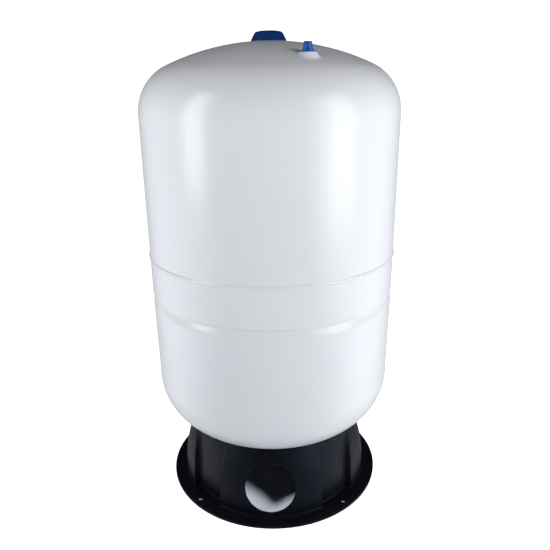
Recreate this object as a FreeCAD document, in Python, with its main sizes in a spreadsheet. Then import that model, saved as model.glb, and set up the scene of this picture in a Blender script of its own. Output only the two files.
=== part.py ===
import FreeCAD
import Part
import Sketcher
import math
import os
from FreeCAD import Placement, Rotation, Vector

# Free-standing steel expansion vessel, about 100 litres: two drawn shells on a moulded stand, a clenched
# rubber diaphragm with a plastic liner on the water side, and two gas valves under caps on the dome.
# Units are millimetres. Z is up, Z = 0 is the floor, and the stand's pipe hole faces -Y.

# The driving dimensions. Heights are above the floor, and radii are from the axis of the piece.
DIMENSIONS = {
    "tank_radius": 215,
    "wall": 2,
    "seam_height": 454,
    "top_tangent": 688,
    "top_knuckle": 82.5,
    "top_crown": 406,
    "lower_radius": 213.4,
    "bottom_tangent": 224,
    "bottom_knuckle": 96,
    "bottom_crown": 494,
    "lap_length": 12,
    "lap_gap": 0.2,
    "weld_height": 6,
    "weld_depth": 1.8,
    "groove_top": 388,
    "groove_floor": 381.5,
    "groove_end": 367,
    "groove_depth": 3.8,
    "shoulder_radius": 214.2,
    "land_height": 111,
    "neck_hole": 17.2,
    "liner_wall": 1.5,
    "liner_gap": 0.3,
    "liner_top": 371,
    "rubber": 2.4,
    "rubber_gap": 1.2,
    "rubber_top": 397,
    "clench_wall": 2.5,
    "pad_radius": 45,
    "pad_height": 4,
    "thread_radius": 16.62,
    "thread_end": 62,
    "thread_relief": 97,
    "water_bore": 12.5,
    "water_flange": 27,
    "water_flange_height": 5,
    "water_nut_across": 46,
    "water_nut_height": 10,
    "seat_dimple": 14,
    "seat_dimple_slope": 3,
    "seat_floor": 794.5,
    "seat_hole": 5.2,
    "port_radius": 133.5,
    "port_turn": 27.3,
    "port_height": 778.9,
    "port_land": 14.5,
    "port_skirt": 12,
    "port_slope": 40,
    "neck_radius": 4.9,
    "stem_radius": 3.85,
    "stem_length": 10,
    "stem_bore": 2.6,
    "valve_flange": 8,
    "valve_flange_height": 3,
    "ring_section": 0.9,
    "nut_height": 4,
    "nut_across": 14,
    "washer_height": 1,
    "core_radius": 2.5,
    "core_bore": 1.6,
    "core_length": 10,
    "core_floor": 1,
    "pin_radius": 0.6,
    "pin_hole": 0.75,
    "cap_radius": 29,
    "cap_bottom": 798.3,
    "cap_shoulder_radius": 22.6,
    "cap_shoulder_height": 808.8,
    "cap_top": 813.6,
    "cap_wall": 1.8,
    "collar_radius": 20,
    "collar_height": 804.6,
    "small_cap_flange": 13.6,
    "small_cap_root": 7.8,
    "small_cap_tip": 5.9,
    "small_cap_height": 13.8,
    "small_cap_wall": 1.1,
    "stand_flange": 200.5,
    "stand_flange_height": 5,
    "stand_panel": 176.7,
    "stand_recess": 166,
    "stand_waist": 17.2,
    "stand_rim": 143.8,
    "panel_arc": 215,
    "recess_arc": 380,
    "stand_wall": 4,
    "recess_sweep": 27,
    "pipe_hole": 45,
    "pipe_height": 57,
    "anchor_circle": 187,
    "anchor_hole": 4.5,
    "hoop_radius": 136.5,
    "hoop_wall": 2.5,
    "hoop_bottom": 104,
    "boss_sweep": 8,
    "screw_height": 114,
    "screw_radius": 2.4,
    "screw_reach": 149,
}


class Size:
    """A number with the spreadsheet expression that gives it, so that one value draws and binds."""

    def __init__(self, value, text=None):
        self.value = float(value)
        self.text = text if text else repr(self.value)

    def joined(self, other, sign, value):
        return Size(value, f"({self.text} {sign} {as_size(other).text})")

    def __add__(self, other):
        return self.joined(other, "+", self.value + as_size(other).value)

    def __sub__(self, other):
        return self.joined(other, "-", self.value - as_size(other).value)

    def __mul__(self, other):
        return self.joined(other, "*", self.value * as_size(other).value)

    def __truediv__(self, other):
        return self.joined(other, "/", self.value / as_size(other).value)

    def __neg__(self):
        return Size(-self.value, f"(-1 * {self.text})")


def as_size(number):
    return number if isinstance(number, Size) else Size(number)


def root(size):
    return Size(math.sqrt(size.value), f"sqrt({size.text})")


def sine(size):
    return Size(math.sin(math.radians(size.value)), f"sin({size.text} * 1 deg)")


def cosine(size):
    return Size(math.cos(math.radians(size.value)), f"cos({size.text} * 1 deg)")


class Sheet:
    """The spreadsheet of driving dimensions; each alias is an attribute that gives its Size."""

    def __init__(self, document):
        cells = document.addObject("Spreadsheet::Sheet", "Dims")
        for row, (alias, number) in enumerate(DIMENSIONS.items(), start=1):
            cells.set(f"A{row}", alias)
            cells.set(f"B{row}", str(number))
            cells.setAlias(f"B{row}", alias)
            setattr(self, alias, Size(number, f"Dims.{alias}"))


doc = FreeCAD.newDocument("expansion_vessel")
dim = Sheet(doc)
doc.recompute()
nodes = []


# ---- helpers ----


def bind(item, name, size):
    """Sets a property of a feature and ties it to the spreadsheet."""
    size = as_size(size)
    setattr(item, name, size.value)
    item.setExpression(name, size.text)


def origin_part(body, role):
    return next(part for part in body.Origin.OriginFeatures if part.Role == role)


def new_body(name):
    body = doc.addObject("PartDesign::Body", name)
    body.Label = name
    return body


def keep(item, name):
    """Notes a finished sub-part and gives it the label that names its file."""
    item.Label = name
    nodes.append(item)
    return item


def new_sketch(body, name, role="XZ_Plane", lift=None, turn=0):
    """A sketch on an origin plane of its body; lift moves it along the plane's normal."""
    sketch = body.newObject("Sketcher::SketchObject", name)
    sketch.AttachmentSupport = (origin_part(body, role), [""])
    sketch.MapMode = "FlatFace"
    if turn:
        sketch.AttachmentOffset = Placement(Vector(), Rotation(Vector(0, 1, 0), turn))
    if lift is not None:
        sketch.AttachmentOffset = Placement(Vector(0, 0, lift.value), Rotation())
        sketch.setExpression("AttachmentOffset.Base.z", lift.text)
    return sketch


def pin_down(sketch, kind, places, size):
    """Adds a dimension to a sketch and ties it to the spreadsheet."""
    index = sketch.addConstraint(Sketcher.Constraint(kind, *places, size.value))
    sketch.setExpression(f"Constraints[{index}]", size.text)


def place_point(sketch, segment, end, x, y):
    """Holds one end of a segment at x, y from the sketch's origin."""
    for kind, size, axis in (("DistanceX", x, -2), ("DistanceY", y, -1)):
        if size.value == 0:
            sketch.addConstraint(Sketcher.Constraint("PointOnObject", segment, end, axis))
        else:
            pin_down(sketch, kind, (-1, 1, segment, end), size)


def arc_between(start, end, radius, left):
    """The short arc from start to end, with its centre on the left or right of the way there."""
    chord = end - start
    height = math.sqrt(radius**2 - (chord.Length / 2) ** 2)
    across = Vector(-chord.y, chord.x, 0).normalize()
    centre = (start + end) / 2 + across * (height if left else -height)
    first, last = (start, end) if left else (end, start)
    angles = [math.atan2(point.y - centre.y, point.x - centre.x) for point in (first, last)]
    return Part.ArcOfCircle(Part.Circle(centre, Vector(0, 0, 1), radius), *angles)


def draw(sketch, points):
    """Draws a closed outline. A point is (x, y), reached by a line, or (x, y, radius, "left" or
    "right"), reached by an arc whose centre is on that side of the way there."""
    points = [tuple(part if isinstance(part, str) else as_size(part) for part in point) for point in points]
    spots = [Vector(point[0].value, point[1].value, 0) for point in points]
    ends = []
    for index, point in enumerate(points):
        start, end = spots[index - 1], spots[index]
        if len(point) == 2:
            segment = sketch.addGeometry(Part.LineSegment(start, end), False)
            ends.append((segment, 1, 2))
        else:
            left = point[3] == "left"
            segment = sketch.addGeometry(arc_between(start, end, point[2].value, left), False)
            ends.append((segment, 1, 2) if left else (segment, 2, 1))
    for index, point in enumerate(points):
        segment, _, finish = ends[index]
        following, begin, _ = ends[(index + 1) % len(points)]
        sketch.addConstraint(Sketcher.Constraint("Coincident", segment, finish, following, begin))
        place_point(sketch, segment, finish, point[0], point[1])
        if len(point) == 4:
            pin_down(sketch, "Radius", (segment,), point[2])


def ring_sketch(sketch, x, y, radii):
    """Draws circles of the given radii about x, y."""
    for radius in (as_size(radius) for radius in radii):
        circle = Part.Circle(Vector(as_size(x).value, as_size(y).value, 0), Vector(0, 0, 1), radius.value)
        segment = sketch.addGeometry(circle, False)
        place_point(sketch, segment, 3, as_size(x), as_size(y))
        pin_down(sketch, "Radius", (segment,), radius)


def turned(body, name, points, kind="Revolution", sweep=360, turn=0):
    """Turns an outline drawn in the XZ plane about the Z axis, as a solid or as a cut."""
    sketch = new_sketch(body, f"{name}_outline", turn=turn)
    draw(sketch, points)
    feature = body.newObject(f"PartDesign::{kind}", name)
    feature.Profile = sketch
    feature.ReferenceAxis = (sketch, ["V_Axis"])
    if isinstance(sweep, Size):
        bind(feature, "Angle", sweep)
        feature.Midplane = True
    else:
        feature.Angle = sweep
    return feature


def turned_part(name, points):
    """A whole sub-part turned about its own Z axis."""
    body = new_body(name)
    turned(body, f"{name}_turned", points)
    return keep(body, name)


def around(body, feature, count):
    """Repeats a feature round the Z axis."""
    pattern = body.newObject("PartDesign::PolarPattern", f"{feature.Name}_ring")
    pattern.Originals = [feature]
    pattern.Axis = (origin_part(body, "Z_Axis"), [""])
    pattern.Angle = 360
    pattern.Occurrences = count
    body.Tip = pattern
    return pattern


def rounded(body, name, size, wanted):
    """Rounds the edges of the body's last feature for which wanted(edge) is true."""
    doc.recompute()
    last = body.Tip
    edges = [f"Edge{n}" for n, edge in enumerate(last.Shape.Edges, start=1) if wanted(edge)]
    if not edges:
        raise ValueError(f"{name} finds no edges")
    fillet = body.newObject("PartDesign::Fillet", name)
    fillet.Base = (last, edges)
    bind(fillet, "Radius", size)
    body.Tip = fillet
    return fillet


def circle_at(edge, radius, height, slack=0.05):
    """True for a round edge about the Z axis with that radius and height."""
    box = edge.BoundBox
    level = abs(box.ZMin - height.value) < slack and abs(box.ZMax - height.value) < slack
    curve = edge.Curve
    return level and isinstance(curve, Part.Circle) and abs(curve.Radius - radius.value) < slack


def moved(item, x, y, z):
    """Puts a sub-part at x, y, z."""
    for axis, size in (("x", x), ("y", y), ("z", z)):
        setattr(item.Placement.Base, axis, as_size(size).value)
        item.setExpression(f"Placement.Base.{axis}", as_size(size).text)
    return item


def prism(body, name, x, y, radius, bottom, height, sides=6):
    """Pads a regular polygon, of which radius is the outer circle's."""
    sketch = new_sketch(body, f"{name}_outline", "XY_Plane", lift=as_size(bottom))
    corners = []
    for side in range(sides):
        angle = math.tau * side / sides
        corners.append((as_size(x) + radius * math.cos(angle), as_size(y) + radius * math.sin(angle)))
    draw(sketch, corners)
    pad = body.newObject("PartDesign::Pad", name)
    pad.Profile = sketch
    bind(pad, "Length", height)
    return pad


def bored(body, name, radius, depth, x=0, y=0, lift=0):
    """Cuts a round hole upwards from the height lift."""
    sketch = new_sketch(body, f"{name}_outline", "XY_Plane", lift=as_size(lift))
    ring_sketch(sketch, x, y, [radius])
    pocket = body.newObject("PartDesign::Pocket", name)
    pocket.Profile = sketch
    pocket.Reversed = True
    bind(pocket, "Length", depth)
    return pocket


def radial_holes(body, name, radius, height, count, reach):
    """Drills holes outwards from the axis, evenly round it and first at half a step from -Y."""
    sketch = new_sketch(body, f"{name}_outline", turn=180 / count)
    ring_sketch(sketch, 0, height, [radius])
    pocket = body.newObject("PartDesign::Pocket", name)
    pocket.Profile = sketch
    pocket.Reversed = True
    bind(pocket, "Length", reach)
    return around(body, pocket, count)


# ---- the drawn shells ----


def dome_steps(radius, knuckle, crown):
    """Where the knuckle arc of a dome meets its crown arc, and how high the crown's top is.

    The heights are above the line where the knuckle starts from the straight wall."""
    reach = radius - knuckle
    rise = root((crown - knuckle) * (crown - knuckle) - reach * reach)
    share = knuckle / (crown - knuckle)
    return reach + reach * share, rise * share, crown - rise, rise


def on_crown(radius, crown, rise):
    """Height of the crown arc above the knuckle's line at that radius."""
    return root(crown * crown - radius * radius) - rise


def top_at(radius):
    """Height of the vessel's top at a radius on its crown."""
    rise = dome_steps(dim.tank_radius, dim.top_knuckle, dim.top_crown)[3]
    return dim.top_tangent + on_crown(radius, dim.top_crown, rise)


def underside_at(radius):
    """Height of the vessel's underside at a radius on its crown."""
    rise = dome_steps(dim.lower_radius, dim.bottom_knuckle, dim.bottom_crown)[3]
    return dim.bottom_tangent - on_crown(radius, dim.bottom_crown, rise)


def upper_solid(name, inset):
    """The upper shell as a solid, every face moved in by inset."""
    radius = dim.tank_radius - inset
    knuckle = dim.top_knuckle - inset
    crown = dim.top_crown - inset
    meet, lift, _, rise = dome_steps(radius, knuckle, crown)
    dimple = dim.seat_dimple + inset
    edge = dimple + dim.seat_dimple_slope
    body = new_body(name)
    turned(
        body,
        f"{name}_dome",
        [
            (0, dim.seam_height),
            (radius, dim.seam_height),
            (radius, dim.top_tangent),
            (meet, dim.top_tangent + lift, knuckle, "left"),
            (edge, dim.top_tangent + on_crown(edge, crown, rise), crown, "left"),
            (dimple, dim.seat_floor - inset),
            (0, dim.seat_floor - inset),
        ],
    )
    return body


def port_place():
    """The gauge port's axis: x and y."""
    return dim.port_radius * sine(dim.port_turn), -(dim.port_radius * cosine(dim.port_turn))


def port_boss(body, name, inset):
    """Presses the flat seat of the gauge port: raised downhill, and sunk a little uphill."""
    x, y = port_place()
    top = dim.port_height - inset
    raised = new_sketch(body, f"{name}_outline", "XY_Plane", lift=top)
    ring_sketch(raised, x, y, [dim.port_land - inset])
    pad = body.newObject("PartDesign::Pad", name)
    pad.Profile = raised
    pad.Reversed = True
    bind(pad, "Length", dim.port_skirt)
    bind(pad, "TaperAngle", dim.port_slope)
    sunk = new_sketch(body, f"{name}_sunk_outline", "XY_Plane", lift=top)
    ring_sketch(sunk, x, y, [dim.port_land + inset * 0.5])
    pocket = body.newObject("PartDesign::Pocket", f"{name}_sunk")
    pocket.Profile = sunk
    pocket.Reversed = True
    bind(pocket, "Length", dim.port_skirt)
    bind(pocket, "TaperAngle", dim.port_slope)
    body.Tip = pocket
    return pocket


def upper_shell():
    outer = upper_solid("upper_outer", Size(0))
    port_boss(outer, "upper_outer_boss", Size(0))
    inner = upper_solid("upper_inner", dim.wall)
    port_boss(inner, "upper_inner_boss", dim.wall)
    hollow = doc.addObject("Part::Cut", "upper_hollow")
    hollow.Base = outer
    hollow.Tool = inner
    x, y = port_place()
    drills = doc.addObject("Part::MultiFuse", "upper_drills")
    drills.Shapes = [
        drill("seat_drill", 0, 0, dim.seat_floor),
        drill("port_drill", x, y, dim.port_height),
    ]
    shell = doc.addObject("Part::Cut", "upper_shell")
    shell.Base = hollow
    shell.Tool = drills
    return keep(shell, "upper_shell")


def drill(name, x, y, face):
    """A cylinder that cuts a valve's hole, half above and half below the shell's outside."""
    height = Size(20)
    cylinder = doc.addObject("Part::Cylinder", name)
    bind(cylinder, "Radius", dim.seat_hole)
    bind(cylinder, "Height", height)
    return moved(cylinder, x, y, face - height / 2)


def lower_wall(inset, stop):
    """One side of the lower shell's wall, from the groove down to a flat land; inset moves it in.

    The land lies inset above land_height, and the last point's radius is stop."""
    radius = dim.lower_radius - inset
    knuckle = dim.bottom_knuckle - inset
    crown = dim.bottom_crown - inset
    meet, drop, _, rise = dome_steps(radius, knuckle, crown)
    land = dim.land_height + inset
    level = dim.bottom_tangent - land + rise
    land_edge = root(crown * crown - level * level)
    return [
        (dim.tank_radius - inset, dim.groove_top),
        (dim.tank_radius - dim.groove_depth - inset, dim.groove_floor),
        (dim.shoulder_radius - inset, dim.groove_end),
        (radius, dim.bottom_tangent),
        (meet, dim.bottom_tangent - drop, knuckle, "right"),
        (land_edge, land, crown, "right"),
        (stop, land),
    ]


def backwards(points):
    """The same outline run the other way: each arc moves to the point that it now ends at."""
    turned_round = {"left": "right", "right": "left"}
    result = []
    for index in range(len(points) - 1, -1, -1):
        arc = points[index + 1][2:] if index + 1 < len(points) else ()
        if arc:
            arc = (arc[0], turned_round[arc[1]])
        result.append((*points[index][:2], *arc))
    return result


def lower_shell():
    lap = dim.tank_radius - dim.wall - dim.lap_gap
    seam = dim.seam_height - dim.weld_height / 2
    lap_top = dim.seam_height + dim.lap_length
    outside = [(lap, lap_top), (lap, dim.seam_height - 0.5), (dim.tank_radius, seam)]
    inside = [
        (dim.tank_radius - dim.wall, seam - 1),
        (lap - dim.wall, dim.seam_height - 1.5),
        (lap - dim.wall, lap_top),
    ]
    walls = lower_wall(Size(0), dim.neck_hole) + backwards(lower_wall(dim.wall, dim.neck_hole))
    shell = turned_part("lower_shell", outside + walls + inside)

    def lip(edge):
        radii = (dim.tank_radius, dim.tank_radius - dim.wall)
        return any(circle_at(edge, radius, dim.groove_top) for radius in radii)

    def trough(edge):
        floor = dim.tank_radius - dim.groove_depth
        return any(circle_at(edge, radius, dim.groove_floor) for radius in (floor, floor - dim.wall))

    def shoulder(edge):
        radii = (dim.shoulder_radius, dim.shoulder_radius - dim.wall)
        return any(circle_at(edge, radius, dim.groove_end) for radius in radii)

    rounded(shell, "lower_lip_round", 3, lip)
    rounded(shell, "lower_trough_round", 3, trough)
    rounded(shell, "lower_shoulder_round", 30, shoulder)
    return shell


def girth_weld():
    half = dim.weld_height / 2
    radius = (half * half + dim.weld_depth * dim.weld_depth) / (dim.weld_depth * 2)
    return turned_part(
        "girth_weld",
        [
            (dim.tank_radius, dim.seam_height - half),
            (dim.tank_radius, dim.seam_height + half, radius, "left"),
            (dim.tank_radius, dim.seam_height),
            (dim.tank_radius - dim.wall, dim.seam_height),
            (dim.tank_radius - dim.wall, dim.seam_height - 0.6),
        ],
    )


# ---- what is inside the vessel ----


def bowl(inset, top, land_lift, stop):
    """One side of a soft or plastic bowl that follows the lower shell, from its top to its flat floor."""
    radius = dim.lower_radius - inset
    knuckle = dim.bottom_knuckle - inset
    crown = dim.bottom_crown - inset
    meet, drop, _, rise = dome_steps(radius, knuckle, crown)
    land = dim.land_height + land_lift
    level = dim.bottom_tangent - land + rise
    return [
        (radius, top),
        (radius, dim.bottom_tangent),
        (meet, dim.bottom_tangent - drop, knuckle, "right"),
        (root(crown * crown - level * level), land, crown, "right"),
        (stop, land),
    ]


def liner():
    outer = dim.wall + dim.liner_gap
    inner = outer + dim.liner_wall
    top = dim.liner_top - 3
    hole = dim.neck_hole + 0.2
    return turned_part("liner", bowl(outer, top, outer, hole) + backwards(bowl(inner, top, inner, hole)))


def diaphragm():
    """The rubber bag lies down in the liner, as it does with gas pressure and no water."""
    outer = dim.wall + dim.liner_gap + dim.liner_wall + dim.rubber_gap
    inner = outer + dim.rubber
    floor = diaphragm_floor()
    clamp = dim.tank_radius - dim.wall - 0.1
    pinch = clamp - dim.groove_depth
    turn_in = dim.groove_end + 5
    outside = [
        (clamp, dim.rubber_top),
        (clamp, dim.groove_top + 1),
        (pinch, dim.groove_floor),
        (pinch, turn_in),
    ]
    inside = [
        (dim.lower_radius - inner, turn_in - 3),
        (pinch - dim.rubber, turn_in),
        (pinch - dim.rubber, dim.groove_floor + 1),
        (clamp - dim.rubber, dim.groove_top + 2),
        (clamp - dim.rubber - 2, dim.rubber_top),
    ]
    falling = bowl(outer, turn_in - 4, floor, Size(0))
    rising = backwards(bowl(inner, turn_in - 5, floor + dim.rubber, Size(0)))
    return turned_part("diaphragm", outside + falling + rising[:-1] + inside)


def diaphragm_floor():
    """How far the diaphragm's underside is above the shell's flat land: it clears the water flange."""
    return dim.wall + dim.liner_gap + dim.liner_wall + dim.water_flange_height + 1.4


def diaphragm_pad():
    bottom = dim.land_height + diaphragm_floor() + dim.rubber + 0.05
    return turned_part(
        "diaphragm_pad",
        [
            (0, bottom),
            (dim.pad_radius - 1, bottom),
            (dim.pad_radius, bottom + 1),
            (dim.pad_radius - 4, bottom + dim.pad_height),
            (0, bottom + dim.pad_height),
        ],
    )


def clench_ring():
    """A rolled steel hoop that squeezes the rubber out into the shell's groove."""
    outer = dim.tank_radius - dim.wall - dim.rubber - 0.3
    waist = outer - dim.groove_depth
    top = dim.rubber_top - 2
    bottom = dim.groove_end + 6
    outside = [
        (outer - 2.2, top),
        (outer, dim.groove_top + 2.2),
        (waist, dim.groove_floor + 1),
        (waist, bottom),
    ]
    inside = [(point[0] - dim.clench_wall, point[1]) for point in reversed(outside)]
    return turned_part("clench_ring", outside + inside)


# ---- the water connection ----


def liner_top_face():
    return dim.land_height + dim.wall + dim.liner_gap + dim.liner_wall


def water_connection():
    under = liner_top_face() + 0.4
    top = under + dim.water_flange_height
    gland = Size(3.2)
    gland_inner = dim.thread_radius + 3
    return turned_part(
        "water_connection",
        [
            (dim.water_bore, dim.thread_end),
            (dim.thread_radius - 1.5, dim.thread_end),
            (dim.thread_radius, dim.thread_end + 1.5),
            (dim.thread_radius, dim.thread_relief),
            (dim.thread_radius - 0.8, dim.thread_relief + 0.4),
            (dim.thread_radius - 0.8, dim.thread_relief + 1.2),
            (dim.thread_radius, dim.thread_relief + 1.6),
            (dim.thread_radius, under),
            (gland_inner, under),
            (gland_inner, under + 2.7),
            (gland_inner + gland, under + 2.7),
            (gland_inner + gland, under),
            (dim.water_flange, under),
            (dim.water_flange, top - 1),
            (dim.water_flange - 1, top),
            (dim.water_bore + 2, top),
            (dim.water_bore, top - 2),
        ],
    )


def o_ring(name, radius, section, height):
    torus = doc.addObject("Part::Torus", name)
    bind(torus, "Radius1", radius)
    bind(torus, "Radius2", section)
    return keep(moved(torus, 0, 0, height), name)


def connection_o_ring():
    section = Size(1.5)
    return o_ring("connection_o_ring", dim.thread_radius + 4.6, section, liner_top_face() + section + 0.02)


def connection_washer():
    top = dim.land_height - 0.05
    outer = dim.water_flange - 1
    return turned_part(
        "connection_washer",
        [
            (dim.neck_hole, top - 2),
            (outer - 0.5, top - 2),
            (outer, top - 1.5),
            (outer, top),
            (dim.neck_hole, top),
        ],
    )


def hex_nut(name, across, bore, bottom, height):
    """A hexagon nut with its corners turned off at both ends."""
    body = new_body(name)
    corner = across / root(as_size(3))
    prism(body, f"{name}_hexagon", 0, 0, corner, bottom, height)
    for end, mirror in ((bottom, 1), (bottom + height, -1)):
        flat = across / 2
        beyond = corner + 1
        sunk = (beyond - flat) * (0.5 * mirror)
        cut = turned(
            body,
            f"{name}_corners_{'low' if mirror > 0 else 'high'}",
            [(flat, end), (beyond, end), (beyond, end + sunk)],
            kind="Groove",
        )
        body.Tip = cut
    hole = bored(body, f"{name}_bore", bore, height, lift=bottom)
    body.Tip = hole
    return keep(body, name)


def connection_nut():
    bottom = dim.land_height - 2.15 - dim.water_nut_height
    bore = dim.thread_radius + 0.06
    return hex_nut("connection_nut", dim.water_nut_across, bore, bottom, dim.water_nut_height)


# ---- the gas valves ----


def valve_body(name, neck_top):
    """A brass valve body whose mounting face, the shell's outside, is at Z = 0.

    neck_top is how far the threaded neck stands out of the shell, below the thin stem."""
    face = -dim.wall - dim.ring_section * 2
    back = face - dim.valve_flange_height
    top = neck_top + dim.stem_length
    return turned_part(
        name,
        [
            (dim.stem_bore, back),
            (dim.valve_flange - 0.5, back),
            (dim.valve_flange, back + 0.5),
            (dim.valve_flange, face),
            (dim.neck_radius, face),
            (dim.neck_radius, neck_top - 0.5),
            (dim.neck_radius - 0.5, neck_top),
            (dim.stem_radius, neck_top),
            (dim.stem_radius, top - 0.6),
            (dim.stem_radius - 0.6, top),
            (dim.stem_bore, top),
        ],
    )


def core_body(name, top):
    """The valve core's housing: a sleeve with a floor that the pin passes through."""
    bottom = top - dim.core_length
    return turned_part(
        name,
        [
            (dim.pin_hole, bottom),
            (dim.core_radius - 0.4, bottom),
            (dim.core_radius, bottom + 0.4),
            (dim.core_radius, top - 0.3),
            (dim.core_radius - 0.3, top),
            (dim.core_bore, top),
            (dim.core_bore, bottom + dim.core_floor),
            (dim.pin_hole, bottom + dim.core_floor),
        ],
    )


def core_pin(name, top):
    """The pin that is pushed in to let gas through, with the collar that its spring lifts."""
    bottom = top - dim.core_length - 2.6
    collar = top - 1.6
    wide = dim.core_bore - 0.2
    return turned_part(
        name,
        [
            (0, bottom),
            (dim.pin_radius, bottom),
            (dim.pin_radius, collar),
            (wide, collar),
            (wide, collar + 0.5),
            (dim.pin_radius, collar + 0.5),
            (dim.pin_radius, top - 0.2),
            (0, top - 0.2),
        ],
    )


def core_seal(name, top):
    """The rubber washer on the pin that closes the underside of the housing."""
    face = top - dim.core_length - 0.02
    return turned_part(
        name,
        [
            (dim.pin_radius + 0.02, face - 1.4),
            (dim.stem_bore - 0.6, face - 1.4),
            (dim.stem_bore - 0.6, face - 0.4),
            (dim.stem_bore - 1, face),
            (dim.pin_radius + 0.02, face),
        ],
    )


def core_spring(name, x, y, top):
    """A coil between the housing's floor and the pin's collar."""
    wire = Size(0.16)
    low = top - dim.core_length + dim.core_floor + wire + 0.02
    high = top - 1.6 - wire - 0.02
    middle = (dim.core_bore + dim.pin_radius) / 2
    helix = doc.addObject("Part::Helix", f"{name}_path")
    bind(helix, "Height", high - low)
    bind(helix, "Pitch", (high - low) / 5)
    bind(helix, "Radius", middle)
    section = doc.addObject("Part::Circle", f"{name}_section")
    bind(section, "Radius", wire)
    section.Placement = Placement(Vector(middle.value, 0, 0), Rotation(Vector(1, 0, 0), 90))
    section.setExpression("Placement.Base.x", middle.text)
    doc.recompute()
    coil = doc.addObject("Part::Sweep", name)
    coil.Sections = [section]
    coil.Spine = (helix, ["Edge1"])
    coil.Solid = True
    coil.Frenet = True
    return keep(moved(coil, x, y, low), name)


def valve(prefix, x, y, face, neck_top):
    """A complete gas valve with its core. face is the height of the shell's outside at the valve."""
    stem_top = neck_top + dim.stem_length - 0.4
    for piece in (
        valve_body(f"{prefix}_valve_body", neck_top),
        core_body(f"{prefix}_core_body", stem_top),
        core_pin(f"{prefix}_core_pin", stem_top),
        core_seal(f"{prefix}_core_seal", stem_top),
    ):
        moved(piece, x, y, face)
    core_spring(f"{prefix}_core_spring", x, y, face + stem_top)
    section = dim.ring_section
    ring = o_ring(f"{prefix}_valve_o_ring", dim.neck_radius + section + 0.1, section - 0.02, 0)
    moved(ring, x, y, face - dim.wall - section)


def charging_valve():
    neck_top = dim.washer_height + dim.nut_height
    valve("charging", 0, 0, dim.seat_floor, neck_top)
    washer = turned_part(
        "charging_valve_washer",
        [
            (dim.neck_radius + 0.2, dim.seat_floor),
            (dim.valve_flange + 1.5, dim.seat_floor),
            (dim.valve_flange + 1.5, dim.seat_floor + dim.washer_height),
            (dim.neck_radius + 0.2, dim.seat_floor + dim.washer_height),
        ],
    )
    nut = hex_nut(
        "charging_valve_nut",
        dim.nut_across,
        dim.neck_radius + 0.05,
        dim.seat_floor + dim.washer_height,
        dim.nut_height,
    )
    return washer, nut


def gauge_valve():
    x, y = port_place()
    neck_top = Size(2.6)
    valve("gauge", x, y, dim.port_height, neck_top)
    ring_nut = turned_part(
        "gauge_valve_ring_nut",
        [
            (dim.neck_radius + 0.05, 0),
            (dim.neck_radius + 1.2, 0),
            (dim.neck_radius + 1.2, neck_top - 0.7),
            (dim.neck_radius + 0.9, neck_top - 0.4),
            (dim.neck_radius + 0.05, neck_top - 0.4),
        ],
    )
    return moved(ring_nut, x, y, dim.port_height)


# ---- the caps ----


def cap_collar():
    """The ring round the charging valve that the large cap snaps over."""
    inner = dim.collar_radius - 2
    return turned_part(
        "cap_collar",
        [
            (inner, top_at(inner) + 0.02),
            (dim.collar_radius, top_at(dim.collar_radius) + 0.02),
            (dim.collar_radius, dim.collar_height - 2.4),
            (dim.collar_radius + 0.4, dim.collar_height - 1.6),
            (dim.collar_radius, dim.collar_height - 0.4),
            (dim.collar_radius - 0.4, dim.collar_height),
            (inner, dim.collar_height),
        ],
    )


def charging_valve_cap():
    """The large cap: a cone with a rounded shoulder, hollow, with a ring inside that grips the collar."""
    wall = dim.cap_wall
    shoulder = Size(6.5)
    crown = Size(260)
    flat = Size(17)
    grip = dim.collar_radius + 0.8
    grip_end = dim.cap_bottom + 0.8
    ceiling = dim.cap_top - wall
    rim = dim.cap_top - crown + root(crown * crown - flat * flat)
    within = flat - 1
    hollow = crown - wall
    ceiling_rim = ceiling - hollow + root(hollow * hollow - within * within)
    return turned_part(
        "charging_valve_cap",
        [
            (dim.cap_radius - wall, dim.cap_bottom),
            (dim.cap_radius, dim.cap_bottom),
            (dim.cap_shoulder_radius, dim.cap_shoulder_height),
            (flat, rim, shoulder, "left"),
            (0, dim.cap_top, crown, "left"),
            (0, ceiling),
            (within, ceiling_rim, hollow, "right"),
            (dim.cap_shoulder_radius - wall - 0.4, dim.cap_shoulder_height - 1.4, shoulder - wall, "right"),
            (grip, dim.cap_shoulder_height - 2),
            (grip, grip_end + 0.5),
            (grip + 0.5, grip_end),
            (grip + 1.2, grip_end + 0.3),
            (grip + 1.2, dim.cap_shoulder_height - 3.4),
        ],
    )


def gauge_valve_cap():
    """The small push-on cap: a tapered thimble with a wide thin flange, resting on the port's seat."""
    x, y = port_place()
    lift = Size(0.4)
    wall = dim.small_cap_wall
    flange = lift + 1
    top = lift + dim.small_cap_height
    cap = turned_part(
        "gauge_valve_cap",
        [
            (dim.small_cap_root - wall, lift),
            (dim.small_cap_flange - 0.3, lift),
            (dim.small_cap_flange, lift + 0.3),
            (dim.small_cap_flange, flange - 0.2),
            (dim.small_cap_flange - 0.3, flange),
            (dim.small_cap_root + 0.8, flange),
            (dim.small_cap_root + 0.3, flange + 3),
            (dim.small_cap_root - 0.3, flange + 3.4),
            (dim.small_cap_tip, top - 0.7),
            (dim.small_cap_tip - 0.7, top, 0.75, "left"),
            (0, top),
            (0, top - wall),
            (dim.small_cap_tip - wall, top - wall),
        ],
    )
    return moved(cap, x, y, dim.port_height)


# ---- the stand and its fixings ----


def arc_radius_at(widest, bulge, height):
    """Radius at a height of a wall whose outline is an arc, widest at the stand's waist."""
    above = height - dim.stand_waist
    return widest - bulge + root(bulge * bulge - above * above)


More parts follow.
